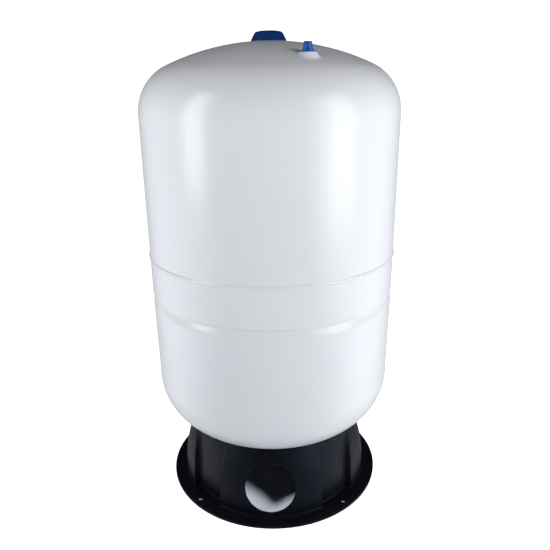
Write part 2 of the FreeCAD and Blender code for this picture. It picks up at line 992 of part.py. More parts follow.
def stand():
    body = new_body("stand")
    thick = dim.stand_wall
    deck = dim.stand_flange_height
    rim_inner = dim.stand_rim - thick
    rim = underside_at(dim.stand_rim) - 0.05
    recess_foot = arc_radius_at(dim.stand_recess, dim.recess_arc, deck)
    panel_foot = arc_radius_at(dim.stand_panel, dim.panel_arc, deck)
    inner_foot = recess_foot - thick
    # The ring's top face leans with the vessel's underside, which it carries.
    turned(
        body,
        "stand_ring",
        [
            (dim.stand_flange, 0),
            (dim.stand_flange, deck),
            (panel_foot, deck),
            (dim.stand_rim, rim, dim.panel_arc, "left"),
            (rim_inner, underside_at(rim_inner) - 0.05),
            (inner_foot, 0, dim.recess_arc, "right"),
        ],
    )
    # Four recesses, each over an anchor hole, fade out just below the rim.
    fade = rim - 8
    beyond = dim.stand_panel + 8
    recess = turned(
        body,
        "stand_recess",
        [
            (beyond, deck),
            (beyond, fade),
            (arc_radius_at(dim.stand_panel, dim.panel_arc, fade), fade),
            (recess_foot, deck, dim.recess_arc, "right"),
        ],
        kind="Groove",
        sweep=dim.recess_sweep,
        turn=45,
    )
    around(body, recess, 4)
    # The panels between the recesses are hollow behind.
    hollow_top = rim - 24
    hollow_radius = arc_radius_at(dim.stand_panel, dim.panel_arc, hollow_top) - thick
    hollow = turned(
        body,
        "stand_hollow",
        [
            (inner_foot - 6, -1),
            (panel_foot - thick, -1),
            (panel_foot - thick, deck),
            (hollow_radius, hollow_top, dim.panel_arc, "left"),
            (inner_foot - 20, hollow_top),
        ],
        kind="Groove",
        sweep=Size(90) - dim.recess_sweep - 3,
    )
    around(body, hollow, 4)
    foot_radii = (recess_foot, panel_foot)
    rounded(
        body,
        "stand_foot_round",
        2.5,
        lambda edge: any(circle_at(edge, radius, deck) for radius in foot_radii),
    )
    # Four bosses inside take the screws from the steel hoop.
    boss_inner = dim.hoop_radius + 0.3
    boss_foot = dim.screw_height - 7
    boss_head = dim.screw_height + 6
    boss = turned(
        body,
        "stand_boss",
        [
            (boss_inner, boss_foot),
            (dim.stand_rim + 6, boss_foot),
            (dim.stand_rim + 4, boss_head),
            (boss_inner, boss_head),
        ],
        sweep=dim.boss_sweep,
        turn=45,
    )
    around(body, boss, 4)
    radial_holes(body, "stand_screw_hole", dim.screw_radius + 0.03, dim.screw_height, 4, dim.screw_reach)
    pipe = new_sketch(body, "stand_pipe_outline")
    ring_sketch(pipe, 0, dim.pipe_height, [dim.pipe_hole])
    pipe_cut = body.newObject("PartDesign::Pocket", "stand_pipe_hole")
    pipe_cut.Profile = pipe
    pipe_cut.Reversed = True
    bind(pipe_cut, "Length", dim.stand_flange + 10)
    body.Tip = pipe_cut
    slant = dim.anchor_circle * math.sqrt(0.5)
    anchor = bored(body, "stand_anchor_hole", dim.anchor_hole, deck + 2, slant, -slant, lift=-1)
    around(body, anchor, 4)
    return keep(body, "stand")


def stand_hoop():
    """The steel hoop welded under the vessel, which the stand is screwed to."""
    body = new_body("stand_hoop")
    inner = dim.hoop_radius - dim.hoop_wall
    turned(
        body,
        "hoop_ring",
        [
            (inner, dim.hoop_bottom),
            (dim.hoop_radius, dim.hoop_bottom),
            (dim.hoop_radius, underside_at(dim.hoop_radius) - 0.02),
            (inner, underside_at(inner) - 0.02),
        ],
    )
    radial_holes(body, "hoop_screw_hole", dim.screw_radius + 0.3, dim.screw_height, 4, dim.screw_reach)
    return keep(body, "stand_hoop")


def stand_screws(count=4):
    """Screws set from inside, outwards through the hoop into the stand's bosses, as one node."""
    seat = dim.hoop_radius - dim.hoop_wall - 0.12
    end = dim.screw_reach - 1
    head = dim.screw_radius * 2
    screws = []
    for number in range(count):
        screw = new_body(f"stand_screw_{number + 1}")
        turned(
            screw,
            f"stand_screw_{number + 1}_turned",
            [
                (0, seat - 2.8),
                (dim.screw_radius, seat - 2.8),
                (head, seat - 1, 3.2, "left"),
                (head, seat),
                (dim.screw_radius, seat),
                (dim.screw_radius, end - 2),
                (0.4, end),
                (0, end),
            ],
        )
        angle = 360 * (number + 0.5) / count - 90
        lean = Rotation(Vector(0, 0, 1), angle) * Rotation(Vector(0, 1, 0), 90)
        screw.Placement = Placement(Vector(0, 0, dim.screw_height.value), lean)
        screw.setExpression("Placement.Base.z", dim.screw_height.text)
        screws.append(screw)
    group = doc.addObject("Part::Compound", "stand_screws")
    group.Links = screws
    return keep(group, "stand_screws")


upper_shell()
lower_shell()
girth_weld()
liner()
diaphragm()
diaphragm_pad()
clench_ring()
water_connection()
connection_o_ring()
connection_washer()
connection_nut()
charging_valve()
gauge_valve()
cap_collar()
charging_valve_cap()
gauge_valve_cap()
stand()
stand_hoop()
stand_screws()

doc.recompute()
bad = [item.Name for item in doc.Objects if {"Invalid", "Error"} & set(item.State)]
if bad:
    raise RuntimeError(f"these objects failed: {bad}")
os.makedirs("parts", exist_ok=True)
for item in nodes:
    if item.Shape.isNull() or not item.Shape.isValid():
        raise RuntimeError(f"{item.Label} has no valid shape")
for item in nodes:
    item.Shape.exportStep(f"parts/{item.Label}.step")
    print(item.Label, "solids", len(item.Shape.Solids), "volume", round(item.Shape.Volume, 1))
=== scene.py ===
import math

import bmesh
import bpy
from mathutils import Matrix, Vector, noise


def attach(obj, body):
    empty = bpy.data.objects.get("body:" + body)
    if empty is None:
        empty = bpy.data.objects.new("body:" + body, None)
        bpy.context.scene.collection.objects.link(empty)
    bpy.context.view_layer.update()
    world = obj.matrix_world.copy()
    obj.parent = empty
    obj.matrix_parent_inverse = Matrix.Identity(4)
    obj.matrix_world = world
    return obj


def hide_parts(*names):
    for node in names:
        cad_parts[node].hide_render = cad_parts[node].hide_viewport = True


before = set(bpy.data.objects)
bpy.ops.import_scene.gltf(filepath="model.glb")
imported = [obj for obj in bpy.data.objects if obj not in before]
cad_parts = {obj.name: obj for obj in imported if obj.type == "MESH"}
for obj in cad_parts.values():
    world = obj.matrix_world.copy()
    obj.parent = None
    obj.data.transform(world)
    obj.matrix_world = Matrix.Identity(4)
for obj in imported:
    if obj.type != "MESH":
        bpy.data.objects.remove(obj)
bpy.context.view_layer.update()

# Free-standing expansion vessel: white coated shells, black moulded stand, two blue valve caps.
# Sizes are in millimetres here and become metres where a mesh or a light is made.


def mm(value):
    return value / 1000.0


def linearColour(hexText):
    # an sRGB hex value as the linear colour that shaders and lights use
    channels = [int(hexText[i:i + 2], 16) / 255 for i in (1, 3, 5)]
    linear = [c / 12.92 if c <= 0.04045 else ((c + 0.055) / 1.055) ** 2.4 for c in channels]
    return (*linear, 1.0)


def newMaterial(name, base, roughness, **sockets):
    material = bpy.data.materials.new(name)
    material.use_nodes = True
    shader = material.node_tree.nodes["Principled BSDF"]
    shader.inputs["Base Color"].default_value = linearColour(base)
    shader.inputs["Roughness"].default_value = roughness
    for socket, value in sockets.items():
        shader.inputs[socket.replace("_", " ")].default_value = value
    return material


def addNode(material, kind, settings=None, values=None, links=None):
    # settings are the node's own, values fill its sockets, links bring in another node's output
    tree = material.node_tree
    node = tree.nodes.new(kind)
    for key, value in (settings or {}).items():
        setattr(node, key, value)
    for key, value in (values or {}).items():
        node.inputs[key].default_value = value
    for key, source in (links or {}).items():
        tree.links.new(source, node.inputs[key])
    return node


def toShader(material, socket, output):
    shader = material.node_tree.nodes["Principled BSDF"]
    material.node_tree.links.new(output, shader.inputs[socket])


def perMetre(patternMm):
    # a noise scale that gives features of that size, in a mesh measured in metres
    return 1000.0 / patternMm


def softColour(material, base, other, patternMm):
    # two close tones mixed by a soft noise
    where = addNode(material, "ShaderNodeTexCoord").outputs["Object"]
    cloud = addNode(material, "ShaderNodeTexNoise", values={"Scale": perMetre(patternMm), "Detail": 3.0},
                    links={"Vector": where})
    spread = addNode(material, "ShaderNodeMapRange", values={"From Min": 0.35, "From Max": 0.65},
                     links={"Value": cloud.outputs["Fac"]})
    mix = addNode(material, "ShaderNodeMix", {"data_type": "RGBA"},
                  {6: linearColour(base), 7: linearColour(other)}, {0: spread.outputs["Result"]})
    toShader(material, "Base Color", mix.outputs[2])


def varyRoughness(material, low, high, patternMm):
    # patches of slightly more and slightly less gloss
    where = addNode(material, "ShaderNodeTexCoord").outputs["Object"]
    cloud = addNode(material, "ShaderNodeTexNoise", values={"Scale": perMetre(patternMm), "Detail": 4.0},
                    links={"Vector": where})
    spread = addNode(material, "ShaderNodeMapRange",
                     values={"From Min": 0.3, "From Max": 0.7, "To Min": low, "To Max": high},
                     links={"Value": cloud.outputs["Fac"]})
    toShader(material, "Roughness", spread.outputs["Result"])


def addBump(material, layers):
    # each layer is (pattern in mm, height in mm, noise detail), the finest last
    where = addNode(material, "ShaderNodeTexCoord").outputs["Object"]
    normal = None
    for patternMm, heightMm, detail in layers:
        cloud = addNode(material, "ShaderNodeTexNoise",
                        values={"Scale": perMetre(patternMm), "Detail": detail}, links={"Vector": where})
        links = {"Height": cloud.outputs["Fac"]}
        if normal:
            links["Normal"] = normal
        bump = addNode(material, "ShaderNodeBump",
                       values={"Strength": 1.0, "Distance": mm(heightMm)}, links=links)
        normal = bump.outputs["Normal"]
    toShader(material, "Normal", normal)


def makeMaterials():
    made = {}

    # Powder-coated steel, baked to a smooth satin gloss: bright cool white, with a faint orange peel
    # that makes the edges of a reflection slightly uneven.
    coat = newMaterial("powder coat white satin", "#ebedf0", 0.24, IOR=1.5)
    softColour(coat, "#ebedf0", "#e9ebef", 160)
    addBump(coat, [(4, 0.004, 1.0)])
    made["coat"] = coat

    # Polypropylene, injection moulded against a spark-eroded tool: blue-black with a low sheen.
    # The real grain is about 0.1 mm, too fine to show, so it is drawn at 1.1 mm.
    stand = newMaterial("polypropylene black moulded", "#0c0e14", 0.46, IOR=1.49, Specular_IOR_Level=0.16,
                        Specular_Tint=linearColour("#cbd8f5"))
    softColour(stand, "#0c0e14", "#0e1017", 60)
    varyRoughness(stand, 0.43, 0.52, 12)
    addBump(stand, [(45, 0.06, 1.0), (1.1, 0.012, 3.0)])
    made["stand"] = stand

    # Polyethylene, injection moulded and opaque: deep navy with a soft wax-like gloss.
    navy = newMaterial("polyethylene navy moulded", "#0b3576", 0.36, IOR=1.51, Specular_IOR_Level=0.3,
                       Subsurface_Weight=0.08, Subsurface_Radius=(0.3, 0.5, 1.0), Subsurface_Scale=0.001)
    softColour(navy, "#0b3576", "#092d68", 18)
    varyRoughness(navy, 0.28, 0.4, 6)
    addBump(navy, [(12, 0.03, 1.0), (0.8, 0.006, 2.0)])
    made["navy"] = navy

    # Low-density polyethylene, thin and unfilled: light passes into it, so it glows a brighter blue.
    clearBlue = newMaterial("polyethylene blue translucent", "#125fc0", 0.34, IOR=1.51,
                            Specular_IOR_Level=0.25, Transmission_Weight=0.25, Subsurface_Weight=0.5,
                            Subsurface_Radius=(0.2, 0.5, 1.2), Subsurface_Scale=0.002)
    softColour(clearBlue, "#125fc0", "#186acc", 7)
    addBump(clearBlue, [(5, 0.02, 1.0)])
    made["clearBlue"] = clearBlue

    # Brass, turned from bar: yellow metal, with fine marks left by the tool.
    brass = newMaterial("brass turned", "#c9a45c", 0.27, Metallic=1.0)
    softColour(brass, "#c9a45c", "#b8924c", 5)
    addBump(brass, [(0.5, 0.01, 3.0)])
    made["brass"] = brass

    # Stainless steel, turned: grey metal, with a slightly uneven sheen.
    stainless = newMaterial("stainless steel turned", "#b9bbbd", 0.3, Metallic=1.0)
    softColour(stainless, "#b9bbbd", "#a9abad", 9)
    addBump(stainless, [(0.8, 0.01, 3.0)])
    made["stainless"] = stainless

    # Mild steel, pressed and zinc plated: pale metal with a mottled, faintly blue passivation.
    zinc = newMaterial("steel zinc plated", "#c3c8cc", 0.36, Metallic=1.0)
    softColour(zinc, "#c3c8cc", "#b0b8c2", 4)
    addBump(zinc, [(0.6, 0.008, 3.0)])
    made["zinc"] = zinc

    # Nitrile rubber, moulded: flat black with no gloss.
    rubber = newMaterial("nitrile rubber moulded", "#141414", 0.75, IOR=1.52)
    softColour(rubber, "#141414", "#1b1b1b", 8)
    addBump(rubber, [(0.9, 0.02, 3.0)])
    made["rubber"] = rubber

    # Butyl rubber, pressed: matt charcoal with a dusty bloom.
    butyl = newMaterial("butyl rubber pressed", "#1f2021", 0.82, IOR=1.5)
    softColour(butyl, "#1f2021", "#2a2b2c", 30)
    addBump(butyl, [(1.5, 0.03, 3.0)])
    made["butyl"] = butyl

    # Polypropylene, natural, thermoformed: milky white.
    liner = newMaterial("polypropylene natural formed", "#cfd6d8", 0.45, IOR=1.49, Subsurface_Weight=0.1,
                        Subsurface_Scale=0.002)
    softColour(liner, "#cfd6d8", "#c4cdd0", 25)
    addBump(liner, [(10, 0.05, 2.0)])
    made["liner"] = liner
    print("materials:", len(made))
    return made


materials = makeMaterials()

nodeFinish = {
    "coat": ["upper_shell", "lower_shell", "girth_weld", "cap_collar", "stand_hoop"],
    "stand": ["stand"],
    "navy": ["charging_valve_cap"],
    "clearBlue": ["gauge_valve_cap"],
    "brass": ["charging_valve_body", "charging_core_body", "charging_core_pin", "gauge_valve_body",
              "gauge_core_body", "gauge_core_pin", "gauge_valve_ring_nut", "charging_valve_nut"],
    "stainless": ["water_connection", "charging_core_spring", "gauge_core_spring"],
    "zinc": ["clench_ring", "connection_washer", "connection_nut", "charging_valve_washer", "stand_screws"],
    "rubber": ["charging_core_seal", "charging_valve_o_ring", "gauge_core_seal", "gauge_valve_o_ring",
               "connection_o_ring"],
    "butyl": ["diaphragm"],
    "liner": ["liner", "diaphragm_pad"],
}

for finish, names in nodeFinish.items():
    for name in names:
        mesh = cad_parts[name].data
        mesh.materials.clear()
        mesh.materials.append(materials[finish])
print("CAD pieces finished:", sum(len(names) for names in nodeFinish.values()))


def smoothStep(low, high, value):
    t = min(max((value - low) / (high - low), 0.0), 1.0)
    return t * t * (3 - 2 * t)


def softMax(a, b, width):
    # the larger of two heights, with a round corner of that width between them
    t = max(width - abs(a - b), 0.0) / width
    return max(a, b) + t * t * width / 4


def roundCorners(corners, degrees=9):
    # corners are (radius, height) or (radius, height, fillet); a fillet becomes an arc
    outline = []
    count = len(corners)
    for index, corner in enumerate(corners):
        here = Vector(corner[:2])
        fillet = corner[2] if len(corner) > 2 else 0
        if not fillet:
            outline.append((here.x, here.y))
            continue
        before = (Vector(corners[index - 1][:2]) - here).normalized()
        after = (Vector(corners[(index + 1) % count][:2]) - here).normalized()
        half = before.angle(after) / 2
        centre = here + (before + after).normalized() * (fillet / math.sin(half))
        start = here + before * (fillet / math.tan(half)) - centre
        turn = start.angle_signed(here + after * (fillet / math.tan(half)) - centre)
        steps = max(2, int(abs(math.degrees(turn)) / degrees))
        for step in range(steps + 1):
            angle = -turn * step / steps
            x = start.x * math.cos(angle) - start.y * math.sin(angle)
            y = start.x * math.sin(angle) + start.y * math.cos(angle)
            outline.append((centre.x + x, centre.y + y))
    return outline


def arcPoints(centre, radius, first, last, steps):
    # an arc in the outline's plane, from one angle to another in degrees, ends included
    angles = [math.radians(first + (last - first) * step / steps) for step in range(steps + 1)]
    return [(centre[0] + radius * math.cos(a), centre[1] + radius * math.sin(a)) for a in angles]


def finishMesh(name, data, materialName, body, sharpAngle=35):
    # smooth shading with crisp edges where the surface really turns, then onto its body
    data.materials.append(materials[materialName])
    item = bpy.data.objects.new(name, data)
    bpy.context.scene.collection.objects.link(item)
    for polygon in data.polygons:
        polygon.use_smooth = True
    data.set_sharp_from_angle(angle=math.radians(sharpAngle))
    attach(item, body)
    return item


def turnedMesh(name, outline, segments, place=(0, 0, 0), shift=None):
    # turns a closed outline about the vertical; shift(angle, radius, height) can move each point
    data = bpy.data.meshes.new(name)
    form = bmesh.new()
    rings = []
    for radius, height in outline:
        if radius < 0.001:
            rings.append([form.verts.new((mm(place[0]), mm(place[1]), mm(place[2] + height)))])
            continue
        ring = []
        for step in range(segments):
            angle = math.tau * step / segments
            r, z = shift(angle, radius, height) if shift else (radius, height)
            ring.append(form.verts.new((mm(place[0] + r * math.sin(angle)),
                                        mm(place[1] - r * math.cos(angle)), mm(place[2] + z))))
        rings.append(ring)
    for index in range(len(rings)):
        low, high = rings[index], rings[(index + 1) % len(rings)]
        if len(low) == 1 and len(high) == 1:
            continue
        for step in range(segments):
            following = (step + 1) % segments
            corners = [low[step % len(low)], low[following % len(low)], high[following % len(high)],
                       high[step % len(high)]]
            face = [v for k, v in enumerate(corners) if v not in corners[:k]]
            form.faces.new(face)
    bmesh.ops.recalc_face_normals(form, faces=form.faces)
    form.to_mesh(data)
    form.free()
    return data


def cutAway(item, cutterMesh):
    # takes the cutter's solid out of the piece for good
    cutter = bpy.data.objects.new("cutter", cutterMesh)
    bpy.context.scene.collection.objects.link(cutter)
    modifier = item.modifiers.new("cut", "BOOLEAN")
    modifier.operation = "DIFFERENCE"
    modifier.solver = "EXACT"
    modifier.object = cutter
    bpy.context.view_layer.update()
    cut = bpy.data.meshes.new_from_object(item.evaluated_get(bpy.context.evaluated_depsgraph_get()))
    item.modifiers.clear()
    item.data = cut
    bpy.data.objects.remove(cutter)
    for polygon in cut.polygons:
        polygon.use_smooth = True
    cut.set_sharp_from_angle(angle=math.radians(35))


tank = {
    "radius": 215,
    "wall": 2,
    "seam": 454,
    "topTangent": 688,
    "topKnuckle": 82.5,
    "topCrown": 406,
    "seatRadius": 14,
    "seatSlope": 3,
    "seatFloor": 794.5,
    "valveHole": 5.2,
    "segments": 288,
}


def domeArcs(radius, knuckle, crown):
    # the radius and rise where knuckle and crown meet, and how far the crown's centre is below the tangent
    reach = radius - knuckle
    rise = math.sqrt((crown - knuckle) ** 2 - reach ** 2)
    return crown * reach / (crown - knuckle), rise * knuckle / (crown - knuckle), rise


def domeHeight(radius, inset=0):
    # the top's surface over the crown, and over the knuckle outside it
    outer, knuckle, crown = (tank[key] - inset for key in ("radius", "topKnuckle", "topCrown"))
    meet, _, rise = domeArcs(outer, knuckle, crown)
    if radius <= meet:
        return tank["topTangent"] - rise + math.sqrt(crown ** 2 - radius ** 2)
    return tank["topTangent"] + math.sqrt(max(knuckle ** 2 - (radius - outer + knuckle) ** 2, 0))


def topOutline(inset):
    outer, knuckle, crown = (tank[key] - inset for key in ("radius", "topKnuckle", "topCrown"))
    meet, lift, rise = domeArcs(outer, knuckle, crown)
    knuckleEnd = math.degrees(math.atan2(lift, meet - (outer - knuckle)))
    points = [(outer, tank["seam"]), (outer, tank["seam"] + 60), (outer, tank["topTangent"] - 90)]
    points += arcPoints((outer - knuckle, tank["topTangent"]), knuckle, 0, knuckleEnd, 26)
    edge = tank["seatRadius"] + tank["seatSlope"] + inset
    crownEnd = math.degrees(math.acos(edge / crown))
    points += arcPoints((0, tank["topTangent"] - rise), crown, knuckleEnd, crownEnd, 54)[1:]
    floor = tank["seatFloor"] - inset
    points += [(edge - 1.2, points[-1][1] - 0.5), (tank["seatRadius"] + inset + 0.8, floor + 0.5),
               (tank["seatRadius"] + inset - 0.6, floor), (tank["valveHole"], floor)]
    return points


port = {
    "radius": 133.5,
    "turn": 27.3,            # degrees from straight ahead of the pipe hole
    "height": 778.9,
    "land": 12.6,            # radius of the flat that was pressed for the valve
    "slope": 1.6,
    "corner": 5,
    "reach": 34,
}
portX = port["radius"] * math.sin(math.radians(port["turn"]))
portY = -port["radius"] * math.cos(math.radians(port["turn"]))


def pressedHeight(x, y, inset):
    # the dome with the port's flat pressed into it, proud downhill and sunk uphill
    dome = domeHeight(math.hypot(x, y), inset)
    away = max(math.hypot(x - portX, y - portY) - port["land"], 0) * port["slope"]
    land = port["height"] - inset
    lowered = -softMax(-dome, -(land + away), port["corner"])
    return softMax(lowered, land - away, port["corner"])


def buildUpperShell():
    outer, inner = topOutline(0), topOutline(tank["wall"])
    data = turnedMesh("upperShell", outer + inner[::-1], tank["segments"])
    form = bmesh.new()
    form.from_mesh(data)

    def nearPort(vertex):
        return math.hypot(vertex.co.x - mm(portX), vertex.co.y - mm(portY)) < mm(port["reach"])

    def outside(vertex):
        radius = math.hypot(vertex.co.x, vertex.co.y) * 1000
        return vertex.co.z * 1000 > domeHeight(min(radius, tank["radius"])) - 1
    edges = [e for e in form.edges if all(nearPort(v) and outside(v) for v in e.verts)]
    bmesh.ops.subdivide_edges(form, edges=edges, cuts=3, use_grid_fill=True)
    for vertex in form.verts:
        if nearPort(vertex) and vertex.co.z > mm(tank["topTangent"]):
            inset = 0 if outside(vertex) else tank["wall"]
            vertex.co.z = mm(pressedHeight(vertex.co.x * 1000, vertex.co.y * 1000, inset))
    form.to_mesh(data)
    form.free()
    shell = finishMesh("upper_shell_coated", data, "coat", "vessel")
    hole = turnedMesh("portHole", [(0, -14), (tank["valveHole"], -14), (tank["valveHole"], 8), (0, 8)], 48,
                      (portX, portY, port["height"]))
    cutAway(shell, hole)
    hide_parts("upper_shell")
    print("upper shell:", len(shell.data.polygons))


buildUpperShell()


lower = {
    "radius": 213.4,
    "tangent": 224,
    "knuckle": 96,
    "crown": 494,
    "land": 111,
    "neckHole": 17.2,
    "grooveTop": 388,
    "grooveFloor": 382,
    "grooveEnd": 370.5,
    "grooveDepth": 3.8,
    "shoulder": 214.9,
    "lap": 12,
    "lapGap": 0.2,
}


def bottomOutline(inset):
    # from the neck out along the land, the crown and the knuckle, and up to the groove
    radius, knuckle, crown = (lower[key] - inset for key in ("radius", "knuckle", "crown"))
    meet, drop, rise = domeArcs(radius, knuckle, crown)
    centre = lower["tangent"] + rise
    land = lower["land"] + inset
    landEdge = math.sqrt(crown ** 2 - (centre - land) ** 2)
    crownStart = math.degrees(math.atan2(land - centre, landEdge))
    crownEnd = math.degrees(math.atan2(-drop - rise, meet))
    points = [(lower["neckHole"], land)] + arcPoints((0, centre), crown, crownStart, crownEnd, 30)
    points += arcPoints((radius - knuckle, lower["tangent"]), knuckle, crownEnd, 0, 30)[1:]
    outer = tank["radius"] - inset
    trough = outer - lower["grooveDepth"]
    groove = roundCorners([
        (radius, lower["tangent"] + 30),
        (lower["shoulder"] - inset, lower["grooveEnd"], 26),
        (trough, lower["grooveFloor"], 3.5),
        (outer, lower["grooveTop"], 2.4),
        (outer, lower["grooveTop"] + 20),
    ], 4)
    return points + groove


def buildLowerShell():
    lap = tank["radius"] - tank["wall"] - lower["lapGap"]
    seam = tank["seam"] - weld["height"] / 2
    top = tank["seam"] + lower["lap"]
    outer = bottomOutline(0) + roundCorners([(tank["radius"], seam - 20), (tank["radius"], seam - 0.6, 0.8),
                                             (lap, tank["seam"] - 1, 0.8), (lap, top)])[1:]
    inner = bottomOutline(tank["wall"]) + [(tank["radius"] - tank["wall"], seam - 1),
                                           (lap - tank["wall"], seam + 1.5), (lap - tank["wall"], top)]
    data = turnedMesh("lowerShell", outer + inner[::-1], tank["segments"])
    shell = finishMesh("lower_shell_coated", data, "coat", "vessel")
    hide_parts("lower_shell")
    print("lower shell:", len(shell.data.polygons))


weld = {
    "height": 6,
    "proud": 1.55,           # of the shells, before the ripples
    "toe": 1.6,              # how far the bead feathers out over the shells
    "ripple": 0.1,
    "pitch": 4.2,            # coarser than a real bead's, so that it shows
    "wander": 0.3,
    "segments": 1440,
}


def buildGirthWeld():
    # a machine-laid bead: even crescent ripples, a height that wanders, and one overlap at the back
    half = weld["height"] / 2
    radius = (half ** 2 + weld["proud"] ** 2) / (2 * weld["proud"])
    spread = math.degrees(math.asin(half / radius))
    crown = arcPoints((tank["radius"] + weld["proud"] - radius, tank["seam"]), radius, -spread, spread, 12)
    toe, lift = weld["toe"], 0.06
    below, above = tank["seam"] - half, tank["seam"] + half
    bead = [(tank["radius"] - 0.4, below - toe), (tank["radius"] + lift, below - toe * 0.5)]
    bead += [(r + lift + 0.1 * abs(z - tank["seam"]) / half, z) for r, z in crown]
    bead += [(tank["radius"] + lift, above + toe * 0.5), (tank["radius"] - 0.4, above + toe)]
    inside = tank["radius"] - tank["wall"] + 0.2
    outline = bead + [(inside + 1.2, tank["seam"] + half - 0.6), (inside + 1.2, tank["seam"] - half + 0.6)]
    turns = math.tau * tank["radius"] / weld["pitch"]

    def ripple(angle, r, z):
        onBead = smoothStep(tank["radius"], tank["radius"] + 1, r)
        lag = 0.9 * ((z - tank["seam"]) / half) ** 2
        wave = math.sin(angle * round(turns) + lag * 2.2)
        around = Vector((math.sin(angle), math.cos(angle), 0))
        drift = noise.noise(around * 9) * weld["wander"]
        overlap = 0.06 * math.exp(-((angle - math.pi * 1.1) / 0.04) ** 2)
        return r + onBead * (wave * weld["ripple"] * 0.5 + drift * 0.2 + overlap), z + onBead * drift
    data = turnedMesh("girthWeld", outline, weld["segments"], shift=ripple)
    bead = finishMesh("girth_weld_bead", data, "coat", "vessel", 60)
    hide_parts("girth_weld")
    print("girth weld:", len(bead.data.polygons))


buildLowerShell()
buildGirthWeld()

tacks = {
    "count": 8,
    "length": 24,
    "leg": 4.2,
    "hoopOuter": 136.5,
    "turn": 22.5,
}


def undersideHeight(radius):
    _, _, rise = domeArcs(lower["radius"], lower["knuckle"], lower["crown"])
    return lower["tangent"] + rise - math.sqrt(lower["crown"] ** 2 - radius ** 2)


def buildTacks():
    # short fillet welds that hold the hoop to the underside, each a bead with tapered ends
    data = bpy.data.meshes.new("hoopTacks")
    form = bmesh.new()
    steps, sides = 26, 10
    for number in range(tacks["count"]):
        middle = math.radians(tacks["turn"] + 360 * number / tacks["count"])
        rings = []
        for step in range(steps + 1):
            along = step / steps * 2 - 1
            size = tacks["leg"] * math.sqrt(max(1 - along ** 4, 0.02))
            size *= 1 + 0.06 * math.sin(step * 2.6 + number)
            angle = middle + along * tacks["length"] / 2 / tacks["hoopOuter"]
            top = undersideHeight(tacks["hoopOuter"] - 0.5)
            ring = []
            for side in range(sides):
                turn = math.tau * side / sides
                r = tacks["hoopOuter"] - 0.6 + size * 0.62 * (math.cos(turn) * 0.9 + 0.35)
                z = top + 0.7 + size * 0.62 * (math.sin(turn) * 0.9 - 0.55)
                ring.append(form.verts.new((mm(r * math.sin(angle)), mm(-r * math.cos(angle)), mm(z))))
            rings.append(ring)
        for low, high in zip(rings, rings[1:]):
            for side in range(sides):
                form.faces.new((low[side], low[(side + 1) % sides], high[(side + 1) % sides], high[side]))
        form.faces.new(rings[0])
        form.faces.new(rings[-1])
    bmesh.ops.recalc_face_normals(form, faces=form.faces)
    form.to_mesh(data)
    form.free()
    item = finishMesh("hoop_tack_welds", data, "coat", "vessel", 50)
    print("tack welds:", tacks["count"])


buildTacks()


stand = {
    "flange": 200.5,
    "deck": 5,
    "panel": 176.7,
    "panelArc": 215,
    "recess": 166,
    "recessArc": 380,
    "waist": 17.2,
    "rim": 143.8,
    "wall": 4,
    "recessStart": 32.3,     # degrees from the pipe hole's direction
    "recessEnd": 56.3,       # at the foot
    "recessSpread": 8.5,     # further by this at the top
    "edge": 2,               # degrees over which a panel turns into a recess
    "foot": 2.5,
    "pipeHole": 45,
    "pipeHeight": 57,
    "anchorCircle": 187,
    "anchorHole": 4.5,
    "columns": 1080,
}


def bulge(widest, arc, height):
    return widest - arc + math.sqrt(arc ** 2 - (height - stand["waist"]) ** 2)


def arcBetween(start, end, radius, steps):
    # the shallow arc from one point to the next that bulges away from the axis
    chord = Vector(end) - Vector(start)
    across = Vector((-chord.y, chord.x)).normalized()
    if across.x > 0:
        across.negate()
    centre = (Vector(start) + Vector(end)) / 2 + across * math.sqrt(radius ** 2 - chord.length_squared / 4)
    first = math.degrees(math.atan2(start[1] - centre.y, start[0] - centre.x))
    last = math.degrees(math.atan2(end[1] - centre.y, end[0] - centre.x))
    return arcPoints(centre, radius, first, last, steps)


def standOutline(throughPanel):
    # the closed section of the stand, through a raised panel or through a recess
    deck, wall = stand["deck"], stand["wall"]
    rimTop = undersideHeight(stand["rim"]) - 0.05
    rimInner = stand["rim"] - wall
    fade = rimTop - 8
    recessFoot = bulge(stand["recess"], stand["recessArc"], deck)
    panelFoot = bulge(stand["panel"], stand["panelArc"], deck)
    fadeRadius = bulge(stand["panel"], stand["panelArc"], fade)
    foot = panelFoot if throughPanel else recessFoot
    fillet = stand["foot"]
    outline = roundCorners([(stand["flange"] - 20, 0), (stand["flange"], 0, 0.7),
                            (stand["flange"], deck, 1.2), (stand["flange"] - 8, deck)], 15)
    outline += arcPoints((foot + fillet, deck + fillet), fillet, 270, 190, 6)
    arc = stand["panelArc"] if throughPanel else stand["recessArc"]
    outline += arcBetween((foot, deck + fillet + 0.6), (fadeRadius, fade), arc, 30)
    rimInnerTop = undersideHeight(rimInner)
    outline += [(bulge(stand["panel"], stand["panelArc"], fade + 3), fade + 3),
                (stand["rim"] + 0.35, rimTop - 0.9), (stand["rim"] - 0.4, rimTop - 0.15),
                (rimInner + 0.4, rimInnerTop - 0.3), (rimInner - 0.1, rimInnerTop - 0.9)]
    innerFoot = recessFoot - wall
    ledge = rimTop - 24
    inside = arcBetween((rimInner - 0.1, rimInnerTop - 1.5), (innerFoot, 0.6), stand["recessArc"], 24)
    if throughPanel:
        inside = [(bulge(stand["panel"], stand["panelArc"], z) - wall if z < ledge else r, z)
                  for r, z in inside]
    outline += inside
    outline += [(inside[-1][0] + 0.6, 0)]
    return outline


